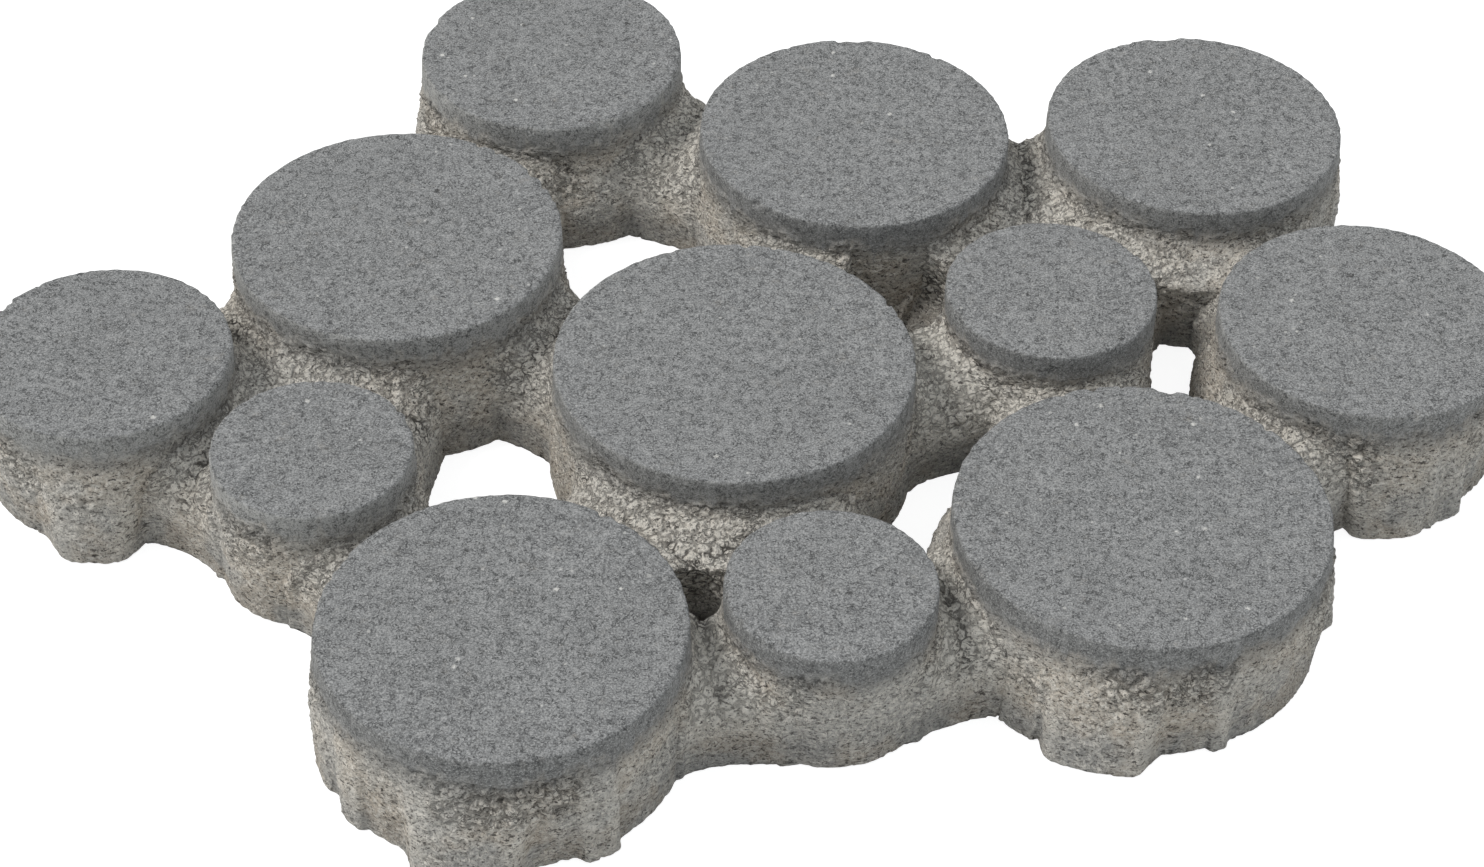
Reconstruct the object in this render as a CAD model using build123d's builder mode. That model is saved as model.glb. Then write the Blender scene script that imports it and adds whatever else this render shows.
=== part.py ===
from build123d import *
import math
import os

# Permeable concrete paving stone: twelve round flat-topped columns, cast in one piece with the
# lower webs that join them and leave planting gaps. Millimetres, +Z up, lying on its bed face.

# Heights above the bed
thickness = 80.0
web_height = 56.0

# Edges: the fine bevel round each top, and the soft rounding of the webs' upper edges
arris = 1.0
shoulder_radius = 34.0

# Webs in plan: half their width on the outside of the stone and towards a gap
outer_half_width = 44.0
inner_half_width = 48.0
waist_corner_radius = 12.0

# Gap corners tighter than this are rounded, each by no more than this share of its shorter side
tight_corner_angle = 105.0
corner_share = 0.4

# The webs that are wider or narrower than that towards a gap
widest_half_width = 56.0
wide_half_width = 53.0
slim_half_width = 40.0
special_half_widths = {
    ("back_left", "back_middle"): widest_half_width,
    ("back_right", "right"): wide_half_width,
    ("back_right", "inner_small"): slim_half_width,
}

# How far the slab of webs lies inside the columns' walls, so that those stand clear of it
slab_inset = 0.6

# Columns: centre x, centre y and diameter of the flat top
columns = {
    "back_left": (-128, 255, 160),
    "back_middle": (58.5, 182, 186),
    "back_right": (264, 196.5, 177),
    "left": (-207, 74, 191),
    "middle": (-10, -29.5, 202),
    "inner_small": (169.5, 37, 121),
    "right": (347.5, 17.5, 169),
    "far_left": (-360.5, -35.5, 144),
    "left_small": (-236, -110, 110),
    "front_left": (-125, -238, 192),
    "front_small": (43, -204.5, 112),
    "front_right": (208, -145.5, 202),
}

# The outer ring of columns, counterclockwise
ring = [
    "far_left", "left_small", "front_left", "front_small", "front_right",
    "right", "back_right", "back_middle", "back_left", "left",
]

# Open planting gaps: the columns round each, counterclockwise, and how far their feet reach into it
gaps = [
    {"left": 3.0, "middle": 3.0, "back_middle": 5.0, "back_left": 16.0},
    {"left": 13.0, "left_small": 1.0, "front_left": 3.0, "middle": 3.0},
    {"middle": 1.0, "front_small": 3.0, "front_right": 12.0, "inner_small": 1.0},
    {"inner_small": 1.0, "front_right": 5.0, "right": 9.0, "back_right": 28.0},
]

# Drain holes where three columns meet: centre x, centre y, diameter, and diameter of the mouth
drain_holes = [(-25, -183, 36, 46), (85, 60, 44, 54)]

# Spacer lugs, ribs and swellings of the outer walls: the column that carries each, the direction
# it points in, and at the bed its width inside the wall, its width across the face and its reach
bumps = [
    ("far_left", -90, 96, 32, 16), ("front_left", -98, 92, 48, 16), ("front_right", -104, 92, 48, 17),
    ("right", -84, 76, 38, 14), ("back_left", 88, 80, 38, 16), ("back_right", 84, 80, 38, 16),
    ("front_left", -57, 44, 20, 8), ("front_left", -139, 40, 18, 6), ("front_left", -166, 76, 46, 4),
    ("front_right", -128, 44, 22, 8), ("front_right", -67, 26, 10, 4), ("front_right", 8, 80, 36, 11),
    ("right", -61, 46, 24, 8), ("back_left", 185, 76, 40, 10), ("back_right", 0, 60, 36, 5),
]

# How far a bump's root lies inside the wall, how high it ends, and its corners' share of its face
bump_root_depth = 36.0
bump_height = 62.0
bump_corner_share = 0.3


def centre(name):
    return Vector(*columns[name][:2])


def slab_radius(name):
    return columns[name][2] / 2 - slab_inset


def neighbours(names):
    return zip(names, names[1:] + names[:1])


def polygon_face(points, mode=Mode.ADD):
    with BuildLine() as loop:
        Polyline(points, close=True)
    make_face(loop.edges(), mode=mode)


def half_web(first, second, half_width, mode):
    """The web in plan, from the line between two columns to its straight side on the right."""
    forward = (centre(second) - centre(first)).normalized()
    aside = Vector(forward.Y, -forward.X) * half_width
    corners = [centre(first), centre(first) + aside, centre(second) + aside, centre(second)]
    polygon_face(corners, mode)


def half_width_in_gap(first, second):
    pair = tuple(sorted((first, second)))
    return special_half_widths.get(pair, inner_half_width)


def round_tight_corners(outline):
    """Rounds the tight corners by the waist radius, or by what the shorter side has room for."""
    radii = []
    for corner in [Vector(vertex) for vertex in outline.vertices()]:
        sides = outline.edges().sort_by_distance(corner)[:2]
        ends = [max(side @ 0, side @ 1, key=lambda end: (end - corner).length) for side in sides]
        angle = (ends[0] - corner).get_angle(ends[1] - corner)
        if angle < tight_corner_angle:
            room = corner_share * min(side.length for side in sides)
            radius = min(waist_corner_radius, room * math.tan(math.radians(angle / 2)))
            radii.append((corner, radius))
    for corner, radius in radii:
        fillet(outline.vertices().sort_by_distance(corner)[0], radius)


def gap_face(feet):
    """One planting gap in plan: what the columns' feet and the webs round it leave open."""
    with BuildSketch() as gap:
        polygon_face([centre(name) for name in feet])
        for name, foot in feet.items():
            with Locations(centre(name)):
                Circle(slab_radius(name) + foot, mode=Mode.SUBTRACT)
        for first, second in neighbours(list(feet)):
            half_web(second, first, half_width_in_gap(first, second), Mode.SUBTRACT)
        round_tight_corners(gap)
    return gap.sketch


def bump(name, root_width, face_width, reach):
    """A bump that points along +X from its column's axis, with a cone's face that leans to the wall."""
    radius = columns[name][2] / 2
    inside, outside = radius - bump_root_depth, radius + reach
    root, face = root_width / 2, face_width / 2
    with BuildPart() as blank:
        with BuildSketch() as foot:
            polygon_face([(inside, -root), (outside, -face), (outside, face), (inside, root)])
            fillet(foot.vertices().group_by(Axis.X)[-1], bump_corner_share * face_width)
        extrude(amount=bump_height)
        base = (Align.CENTER, Align.CENTER, Align.MIN)
        Cone(outside, radius - slab_inset, bump_height, align=base, mode=Mode.INTERSECT)
    return blank.part


with BuildSketch() as slab_outline:
    polygon_face([centre(name) for name in ring])
    for name in columns:
        with Locations(centre(name)):
            Circle(slab_radius(name))
    for first, second in neighbours(ring):
        half_web(first, second, outer_half_width, Mode.ADD)
    fillet(slab_outline.vertices(), waist_corner_radius)
    for feet in gaps:
        add(gap_face(feet), mode=Mode.SUBTRACT)

blanks = [(name, direction, bump(name, *sizes)) for name, direction, *sizes in bumps]

with BuildPart() as stone:
    add(slab_outline.sketch)
    extrude(amount=web_height)
    fillet(stone.edges().group_by(Axis.Z)[-1], shoulder_radius)
    for x, y, diameter, mouth in drain_holes:
        with Locations((x, y, web_height)):
            CounterSinkHole(diameter / 2, mouth / 2, depth=web_height, counter_sink_angle=90)
    for name in columns:
        with Locations(centre(name)):
            Cylinder(columns[name][2] / 2, thickness, align=(Align.CENTER, Align.CENTER, Align.MIN))
    chamfer(stone.edges().group_by(Axis.Z)[-1], arris)
    for name, direction, blank in blanks:
        with Locations(Location((*columns[name][:2], 0), (0, 0, direction))):
            add(blank)

stone.part.label = "paving_stone"
os.makedirs("parts", exist_ok=True)
export_step(stone.part, "parts/paving_stone.step")
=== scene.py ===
import math

import bpy
import numpy as np
from mathutils import Matrix, Vector


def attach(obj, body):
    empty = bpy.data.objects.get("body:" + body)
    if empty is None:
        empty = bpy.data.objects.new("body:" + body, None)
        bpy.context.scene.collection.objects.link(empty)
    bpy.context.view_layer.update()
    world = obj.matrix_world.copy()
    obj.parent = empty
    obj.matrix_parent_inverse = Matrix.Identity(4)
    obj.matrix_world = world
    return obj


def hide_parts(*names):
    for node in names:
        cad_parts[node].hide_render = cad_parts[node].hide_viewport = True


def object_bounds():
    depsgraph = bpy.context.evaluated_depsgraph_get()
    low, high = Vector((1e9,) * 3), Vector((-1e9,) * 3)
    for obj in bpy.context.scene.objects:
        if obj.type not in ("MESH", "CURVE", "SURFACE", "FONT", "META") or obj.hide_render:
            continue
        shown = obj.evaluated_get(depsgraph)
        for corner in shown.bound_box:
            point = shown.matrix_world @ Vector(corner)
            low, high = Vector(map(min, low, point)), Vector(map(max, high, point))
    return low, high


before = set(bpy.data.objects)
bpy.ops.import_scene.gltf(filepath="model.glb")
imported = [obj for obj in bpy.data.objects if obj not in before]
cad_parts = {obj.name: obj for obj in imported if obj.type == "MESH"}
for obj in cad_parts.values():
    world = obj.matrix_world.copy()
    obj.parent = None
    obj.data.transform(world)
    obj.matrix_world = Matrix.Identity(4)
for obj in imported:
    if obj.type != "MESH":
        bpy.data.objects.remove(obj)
cadLow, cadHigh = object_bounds()
print("frame loaded, box", tuple(cadLow), tuple(cadHigh))

# The shapes are worked out in millimetres and turned into metres when a mesh is made.
metre = 0.001

photoCamera = {
    "imageWidth": 1484,
    "focalPixels": 3315.917,
    "sensorWidth": 36.0,
    "place": (-0.005, -1.415, 1.292),
    "pitchDown": 42.4792,
    "roll": -1.29567,
    "clip": (0.05, 50.0),
}


def makeCamera(s):
    # Looks along +Y, tipped down by the pitch, then rolled about its own axis.
    pitch, roll = math.radians(s["pitchDown"]), math.radians(s["roll"])
    ahead = Vector((0.0, math.cos(pitch), -math.sin(pitch)))
    right = Vector((1.0, 0.0, 0.0))
    down = Vector((0.0, -math.sin(pitch), -math.cos(pitch)))
    rolledRight = math.cos(roll) * right + math.sin(roll) * down
    rolledDown = -math.sin(roll) * right + math.cos(roll) * down
    turn = Matrix((rolledRight, -rolledDown, -ahead)).transposed().to_4x4()
    data = bpy.data.cameras.new("photoCamera")
    data.sensor_width = s["sensorWidth"]
    data.lens = s["focalPixels"] / s["imageWidth"] * s["sensorWidth"]
    data.clip_start, data.clip_end = s["clip"]
    camera = bpy.data.objects.new("photoCamera", data)
    bpy.context.scene.collection.objects.link(camera)
    camera.matrix_world = Matrix.Translation(s["place"]) @ turn
    bpy.context.scene.camera = camera


makeCamera(photoCamera)

relief = {
    "seed": 41,
    # Shifts that make the lumps irregular: a coarse and a finer size, the finer one's share, strength
    "drift": 9.0,
    "fineDrift": 3.6,
    "fineDriftShare": 0.5,
    "driftStrength": 2.6,
    # Lumps: size, height, the level that leaves the surface where it was, and the flattest one's share
    "bigLump": (6.6, 2.9, 0.4, 0.35),
    "smallLump": (3.6, 1.5, 0.45, 0.4),
    "domeSteepness": 1.5,
    "crackDepth": 2.2,
    "crackWidth": 0.2,
    "pitDepth": 1.7,
    # What is left of the clods, small lumps and pits where the surface is least crumbled
    "leastClods": 0.5,
    "leastSmall": 0.55,
    "leastPits": 0.6,
    # Patches: size, where they start, where they are full, own seed
    "crumbledPart": (30.0, -0.5, 0.5, 30),
    "pits": (4.2, 0.3, 0.75, 35),
    # Waves: size, height, own seed
    "sand": (2.6, 0.6, 36),
    "swell": (26.0, 0.6, 40),
}


def hashed(x, y, z, seed):
    # A number from 0 to 1 for each whole cell: the cell times large primes, its bits mixed twice.
    n = (x * 374761393 + y * 668265263 + z * 2147483647 + seed * 1274126177) & 0xFFFFFFFF
    n = ((n ^ (n >> 13)) * 1274126177) & 0xFFFFFFFF
    n = ((n ^ (n >> 15)) * 2146121005) & 0xFFFFFFFF
    return (n ^ (n >> 16)) / 4294967295.0


def softNoise(points, size, seed):
    # Smooth noise from -1 to 1: hashed corners of a cube grid, blended along the three axes.
    scaled = points / size
    cell = np.floor(scaled).astype(np.int64)
    part = scaled - cell
    part = part * part * (3.0 - 2.0 * part)
    total = np.zeros(len(points))
    for i in (0, 1):
        for j in (0, 1):
            for k in (0, 1):
                weight = np.ones(len(points))
                for axis, step in enumerate((i, j, k)):
                    weight = weight * (part[:, axis] if step else 1.0 - part[:, axis])
                total += weight * hashed(cell[:, 0] + i, cell[:, 1] + j, cell[:, 2] + k, seed)
    return total * 2.0 - 1.0


def pebbleNoise(points, size, seed):
    # One scattered point a cell: the distances to the nearest two, and the nearest one's own number.
    scaled = points / size
    cell = np.floor(scaled).astype(np.int64)
    part = scaled - cell
    nearest = np.full(len(points), 9.0)
    second = np.full(len(points), 9.0)
    number = np.zeros(len(points))
    for i in (-1, 0, 1):
        for j in (-1, 0, 1):
            for k in (-1, 0, 1):
                x, y, z = cell[:, 0] + i, cell[:, 1] + j, cell[:, 2] + k
                own = hashed(x, y, z, seed)
                away = np.sqrt(
                    (i + own - part[:, 0]) ** 2
                    + (j + hashed(x, y, z, seed + 1) - part[:, 1]) ** 2
                    + (k + hashed(x, y, z, seed + 2) - part[:, 2]) ** 2
                )
                closer = away < nearest
                second = np.where(closer, nearest, np.minimum(second, away))
                number = np.where(closer, own, number)
                nearest = np.where(closer, away, nearest)
    return nearest, second, number


def smoothStep(value, low, high):
    # 0 below low, 1 above high, an S curve between.
    t = np.clip((value - low) / (high - low), 0.0, 1.0)
    return t * t * (3.0 - 2.0 * t)


def atLeast(least, amount):
    # From the least value, where the amount is 0, to 1, where it is 1.
    return least + (1.0 - least) * amount


def patches(points, pattern, s=relief):
    # Smooth noise of the pattern's size and seed, put through an S curve between its two limits.
    size, low, high, number = pattern
    return smoothStep(softNoise(points, size, s["seed"] + number), low, high)


def waves(points, pattern, s=relief):
    # Smooth noise of the pattern's size and seed, times its height.
    size, height, number = pattern
    return height * softNoise(points, size, s["seed"] + number)


def wear(points, pattern, s=relief):
    # Smooth noise raised to lie above 0, times the pattern's depth.
    size, depth, number = pattern
    return depth * (1.0 + softNoise(points, size, s["seed"] + number))


def dome(near, number, least, s=relief):
    # A lump round its point: 1 less the steepness times the distance squared, times its own height.
    return np.clip(1.0 - near * near * s["domeSteepness"], 0.0, 1.0) * atLeast(least, number)


def hollowShadeOf(crumble, start, depth):
    # The painted shade of the hollows: 0 above their start, 1 where they are that deep.
    return np.clip((start - crumble) / depth, 0.0, 1.0)


def crumbleHeight(points, flatten, clods, s=relief):
    # Grit and pits all over; where it is cloddy, domes round scattered points, cut by cracks; in mm.
    seed = s["seed"]
    shift = np.stack([softNoise(points, s["drift"], seed + n) for n in (1, 2, 3)], axis=1)
    fineShift = np.stack([softNoise(points, s["fineDrift"], seed + n) for n in (4, 5, 6)], axis=1)
    shift += s["fineDriftShare"] * fineShift
    moved = (points + shift * s["driftStrength"]) * (1.0, 1.0, flatten)
    strength = clods * atLeast(s["leastClods"], patches(points, s["crumbledPart"]))
    size, lumpHeight, level, least = s["bigLump"]
    near, second, number = pebbleNoise(moved, size, seed + 10)
    crack = 1.0 - np.clip((second - near) / s["crackWidth"], 0.0, 1.0)
    height = strength * lumpHeight * (dome(near, number, least) - level)
    size, lumpHeight, level, least = s["smallLump"]
    near, second, number = pebbleNoise(moved, size, seed + 20)
    smallDome = dome(near, number, least) - level
    height += lumpHeight * smallDome * atLeast(s["leastSmall"], strength)
    height -= s["crackDepth"] * crack * strength
    height -= s["pitDepth"] * patches(moved, s["pits"]) * atLeast(s["leastPits"], strength)
    height += waves(moved, s["sand"])
    height += waves(points, s["swell"])
    return height


def gridFaces(rows, turns):
    # Four-sided faces between neighbouring rows of a grid whose rows are closed rings.
    i = np.arange(rows - 1)[:, None]
    j = np.arange(turns)[None, :]
    a, b = i * turns + j, i * turns + (j + 1) % turns
    return np.stack([a, b, b + turns, a + turns], axis=-1).reshape(-1, 4)


def fanFaces(pole, ring, outwards):
    # Three-sided faces from a pole to each side of a closed ring of vertices.
    following = np.roll(ring, -1)
    centre = np.full(len(ring), pole)
    order = [centre, ring, following] if outwards else [centre, following, ring]
    return np.stack(order, axis=-1)


def makeObject(name, vertices, quads, triangles, layers, material):
    # Puts whole arrays of vertices and faces into a mesh, with one value a vertex for each layer.
    mesh = bpy.data.meshes.new(name)
    mesh.vertices.add(len(vertices))
    mesh.vertices.foreach_set("co", (vertices * metre).astype(np.float32).ravel())
    corners = np.concatenate([quads.ravel(), triangles.ravel()]).astype(np.int32)
    sizes = np.concatenate([np.full(len(quads), 4), np.full(len(triangles), 3)])
    starts = np.concatenate([[0], np.cumsum(sizes)[:-1]]).astype(np.int32)
    mesh.loops.add(len(corners))
    mesh.loops.foreach_set("vertex_index", corners)
    mesh.polygons.add(len(sizes))
    mesh.polygons.foreach_set("loop_start", starts)
    mesh.polygons.foreach_set("use_smooth", np.ones(len(sizes), bool))
    mesh.update(calc_edges=True)
    for layer, values in layers.items():
        attribute = mesh.attributes.new(layer, "FLOAT", "POINT")
        attribute.data.foreach_set("value", values.astype(np.float32))
    mesh.materials.append(material)
    piece = bpy.data.objects.new(name, mesh)
    bpy.context.scene.collection.objects.link(piece)
    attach(piece, "root")
    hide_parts("paving_stone")
    print(name, "made,", len(quads) * 2 + len(triangles), "triangles")


def keepInBox(points):
    # Holds every vertex inside the box of the CAD model.
    low, high = np.array(cadLow) / metre, np.array(cadHigh) / metre
    return np.clip(points, low, high)


finish = {
    "faceGrey": (0.224, 0.227, 0.228, 1.0),
    "facePale": (0.270, 0.273, 0.274, 1.0),
    "faceDark": (0.070, 0.072, 0.073, 1.0),
    "faceLight": (0.44, 0.44, 0.435, 1.0),
    "chip": (0.66, 0.65, 0.62, 1.0),
    # Dark specks of painted shade for the pits of the top
    "pit": (0.05, 0.05, 0.05, 1.0),
    "bandGrey": (0.212, 0.214, 0.211, 1.0),
    "bandPale": (0.370, 0.370, 0.358, 1.0),
    "coreTan": (0.54, 0.475, 0.398, 1.0),
    "coreGrey": (0.445, 0.434, 0.413, 1.0),
    "coreLight": (0.80, 0.765, 0.70, 1.0),
    "coreDark": (0.15, 0.14, 0.125, 1.0),
    # Painted shade, nearly black, for the cracks, pits, tears and hollows of the core
    "creviceShade": (0.035, 0.031, 0.027, 1.0),
    "roughness": 0.93,
    "specular": 0.25,
    # Noises: scale, detail, roughness, distortion, and how much they are squeezed along Z
    "noises": {
        "mottle": (45.0, 4.0, 0.65),
        "blotch": (190.0, 3.0, 0.6),
        "grain": (1000.0, 2.0, 0.6),
        "pepper": (640.0, 4.0, 0.75, 0.8),
        "worm": (230.0, 3.0, 0.6, 1.2),
        "streak": (150.0, 5.0, 0.7, 0.3, 0.08),
        "area": (22.0, 3.0, 0.6),
        "dust": (90.0, 5.0, 0.7),
        "lumps": (230.0, 4.0, 0.7, 0.0, 1.7),
        "sand": (620.0, 3.0, 0.7),
        "grit": (430.0, 3.0, 0.6, 0.0, 1.7),
        "tear": (230.0, 3.0, 0.6, 0.0, 2.6),
    },
    # Layers painted over one another: noise, where it starts, where it is full, strength, colour
    "faceLayers": [
        ("blotch", 0.56, 0.74, 0.40, "faceLight"), ("grain", 0.50, 0.68, 0.70, "faceLight"),
        ("grain", 0.50, 0.34, 0.55, "faceDark"), ("pepper", 0.48, 0.35, 0.85, "faceDark"),
    ],
    "rubLayers": [
        ("streak", 0.50, 0.75, 0.35, "faceLight"), ("streak", 0.46, 0.30, 0.30, "faceDark"),
    ],
    "coreLayers": [
        ("dust", 0.46, 0.72, 0.45, "coreLight"), ("lumps", 0.48, 0.62, 0.70, "coreLight"),
        ("sand", 0.50, 0.62, 0.50, "coreLight"), ("streak", 0.56, 0.74, 0.45, "coreLight"),
    ],
    # Pale chips of the tops and dark specks of painted shade for their pits: scale, radius, share of
    # the cells without one, strength, colour
    "specks": [
        (62.0, 0.11, 0.80, 0.80, "chip"), (110.0, 0.13, 0.80, 0.50, "chip"),
        (38.0, 0.09, 0.80, 0.90, "pit"), (75.0, 0.12, 0.82, 0.75, "pit"),
    ],
    "speckRagged": 0.25,     # how ragged their outline is, their hard middle, and the share's soft end
    "speckMiddle": 0.5,
    "speckSoft": 0.03,
    # Pairs and fours, here and below: the values between which a pattern rises or fades, and what it
    # is at each of them, 0 and 1 where only two are given
    "mottled": (0.32, 0.68),
    "wormLine": (0.026, 0.008),
    "wormHere": (0.53, 0.43),
    "wormStrength": 0.8,
    "areas": (0.42, 0.58),
    "palePaint": 0.6,
    "clodShade": (0.0, 0.8, 0.3, 0.8),
    "sandDark": (0.43, 0.35, 0.0, 0.8),
    # Where the webs are palest, fewer dark grains and less painted shade in the cracks, which paints
    # light on them
    "sandWherePale": (1.0, 1.9, 1.0, 0.5),
    "shadeWherePale": (1.0, 1.9, 0.88, 0.78),
    # The core is greyer under the band and near the bed: by height in metres, and where
    "underBand": (0.050, 0.062),
    "underBandHere": (0.9, 0.4, 0.0, 0.5),
    "nearBed": (0.028, 0.010),
    "nearBedHere": (0.65, 0.4, 0.0, 0.6),
    "nearBedPaint": 0.7,
    # Clods and crumbs are cells on a place that is bent by noise and squeezed along Z
    "warpScale": 170.0,
    "warpDetail": 1.0,
    "warpReach": 0.0055,
    "clodFlatten": 1.5,
    "clodScale": 142.0,
    "crumbScale": 270.0,
    # Cracks between clods, where it is cloddy and the lumps are low, and all along the seams; they are
    # painted in shade and cut into the relief
    "clodEdge": (0.14, 0.04),
    "cloddy": (0.1, 0.9, 0.15, 1.0),
    "crackedLumps": (0.60, 0.48),
    "seam": (0.72, 1.0),
    "seamHere": (0.38, 0.50),
    "seamRelief": (0.72, 1.0, 0.0, 0.7),
    # Cracks between crumbs, painted in shade, fewer in the seams
    "crumbEdge": (0.12, 0.03),
    "crumbly": (0.0, 0.6, 0.4, 0.8),
    "crumbHere": (0.48, 0.58),
    "crumbOffSeams": (0.6, 0.95, 1.0, 0.3),
    # Pits, flat tears and the hollows of the mesh, painted in shade; the pits are also cut into the
    # relief
    "lumpPits": (0.385, 0.34),
    "gritPits": (0.39, 0.34, 0.0, 0.9),
    "pitShadeAndDepth": 0.85,
    "tearLine": (0.40, 0.35),
    "tearHere": (0.6, 0.45, 0.6, 0.95),
    "hollowShadePaint": (0.55, 1.1, 0.0, 0.6),
    # The facing's lower edge, and how far noise feathers it
    "edgeFeather": 1.2,
    "fineEdge": (0.1, 0.95),
    # Relief finer than the mesh
    "clodDome": (0.75, 0.05, 0.0, 1.9),
    "crumbDome": (0.75, 0.05),
    "crumbDomeHere": (0.0, 0.6, 0.4, 1.0),
    "coreRelief": {"sand": 1.2, "lumps": 2.4, "grit": 1.2},
    "faceRelief": {"pepper": 0.5, "grain": 0.2},
    "wormRelief": 0.55,
    "fineRelief": (0.3, 0.75),
    "bumpStrength": 0.9,
    "bumpDistance": 0.0014,
}


def newNode(tree, kind, settings=(), inputs=()):
    # One node with its settings; each input, by name or number, gets a value or a link.
    node = tree.nodes.new(kind)
    for name, value in dict(settings).items():
        setattr(node, name, value)
    for name, value in dict(inputs).items():
        if isinstance(value, bpy.types.NodeSocket):
            tree.links.new(value, node.inputs[name])
        else:
            node.inputs[name].default_value = value
    return node


def vectorOf(operation, *values):
    # The operation on whole vectors, axis by axis.
    inputs = dict(enumerate(values))
    settings = {"operation": operation}
    return newNode(values[0].id_data, "ShaderNodeVectorMath", settings, inputs).outputs[0]


def noiseOf(place, scale, detail, rough, distortion=0.0, squeeze=1.0):
    # Fractal noise round 0.5 on a place that is squeezed along Z.
    vector = place if squeeze == 1.0 else vectorOf("MULTIPLY", place, (1.0, 1.0, squeeze))
    inputs = {"Vector": vector, "Scale": scale, "Detail": detail}
    inputs.update({"Roughness": rough, "Distortion": distortion})
    return newNode(place.id_data, "ShaderNodeTexNoise", {}, inputs).outputs[0]


def cellsOf(place, scale, feature="F1"):
    # Cells round scattered points: the distance to the nearest point or edge, and the cell's colour.
    inputs = {"Vector": place, "Scale": scale}
    return newNode(place.id_data, "ShaderNodeTexVoronoi", {"feature": feature}, inputs).outputs


def ramp(value, low, high, toLow=0.0, toHigh=1.0):
    # Maps a value from one range to another along an S curve, and holds it there.
    inputs = dict(enumerate((value, low, high, toLow, toHigh)))
    settings = {"interpolation_type": "SMOOTHSTEP"}
    return newNode(value.id_data, "ShaderNodeMapRange", settings, inputs).outputs[0]


def calc(operation, first, *others):
    # The first value and each other one in turn, put through the operation.
    for other in others:
        inputs = {0: first, 1: other}
        first = newNode(first.id_data, "ShaderNodeMath", {"operation": operation}, inputs).outputs[0]
    return first


def times(*values):
    # All the values multiplied.
    return calc("MULTIPLY", *values)


def sumOf(*values):
    # All the values added.
    return calc("ADD", *values)


def mostOf(*values):
    # The greatest of the values.
    return calc("MAXIMUM", *values)


def swing(noise, amount):
    # How far the noise is from its middle, 0.5, times an amount.
    return times(calc("SUBTRACT", noise, 0.5), amount)


def blend(factor, first, second):
    # The first colour where the factor is 0, the second where it is 1.
    inputs = {0: factor, 6: first, 7: second}
    return newNode(factor.id_data, "ShaderNodeMix", {"data_type": "RGBA"}, inputs).outputs[2]


def paintOver(colour, layers, noises, s):
    # Each layer's colour is blended in by an S curve of its noise, up to the layer's strength.
    for noise, starts, full, strength, paint in layers:
        colour = blend(ramp(noises[noise], starts, full, 0.0, strength), colour, s[paint])
    return colour


def wormMarks(noises, s):
    # Thin lines where one noise passes its middle, and only where another is low.
    away = calc("ABSOLUTE", calc("SUBTRACT", noises["worm"], 0.5), 0.0)
    return times(ramp(away, *s["wormLine"]), ramp(noises["blotch"], *s["wormHere"]), s["wormStrength"])


def facingColour(place, noises, mesh, worm, s):
    # Mottled grey on top and a plain band below the rim, both with blotches, pale grains, dark pepper
    # and worm marks. The top has pale chips and dark specks of painted shade for its pits, the band the
    # upright rub marks of the mould.
    top = blend(ramp(noises["mottle"], *s["mottled"]), s["faceGrey"], s["facePale"])
    band = blend(mesh["pale"], s["bandGrey"], s["bandPale"])
    face = blend(mesh["topFace"], band, top)
    face = paintOver(face, s["faceLayers"], noises, s)
    face = blend(worm, face, s["faceDark"])
    for scale, radius, without, strength, paint in s["specks"]:
        cells = cellsOf(place, scale)
        colour = {"Color": cells["Color"]}
        number = newNode(place.id_data, "ShaderNodeSeparateColor", {}, colour).outputs[0]
        ragged = sumOf(cells["Distance"], swing(noises["pepper"], s["speckRagged"]))
        outline = ramp(ragged, radius, radius * s["speckMiddle"])
        chosen = ramp(number, without, without + s["speckSoft"])
        face = blend(times(outline, chosen, mesh["topFace"], strength), face, s[paint])
    rubbed = paintOver(face, s["rubLayers"], noises, s)
    return blend(mesh["topFace"], rubbed, face)


def clodCells(place, s):
    # Large and small cells on the bent and flattened place: cracks along their edges, the distances
    # to their middles, and a number for each large one.
    tree = place.id_data
    inputs = {"Vector": place, "Scale": s["warpScale"], "Detail": s["warpDetail"]}
    warp = newNode(tree, "ShaderNodeTexNoise", {}, inputs).outputs["Color"]
    centred = vectorOf("SUBTRACT", warp, (0.5, 0.5, 0.5))
    bent = vectorOf("MULTIPLY_ADD", centred, [s["warpReach"]] * 3, place)
    bent = vectorOf("MULTIPLY", bent, (1.0, 1.0, s["clodFlatten"]))
    clods, crumbs = cellsOf(bent, s["clodScale"]), cellsOf(bent, s["crumbScale"])
    tone = newNode(tree, "ShaderNodeSeparateColor", {}, {"Color": clods["Color"]}).outputs[1]
    clodEdge = cellsOf(bent, s["clodScale"], "DISTANCE_TO_EDGE")["Distance"]
    crumbEdge = cellsOf(bent, s["crumbScale"], "DISTANCE_TO_EDGE")["Distance"]
    return {
        "clodCrack": ramp(clodEdge, *s["clodEdge"]),
        "crumbCrack": ramp(crumbEdge, *s["crumbEdge"]),
        "clodMiddle": clods["Distance"],
        "crumbMiddle": crumbs["Distance"],
        "tone": tone,
    }


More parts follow.
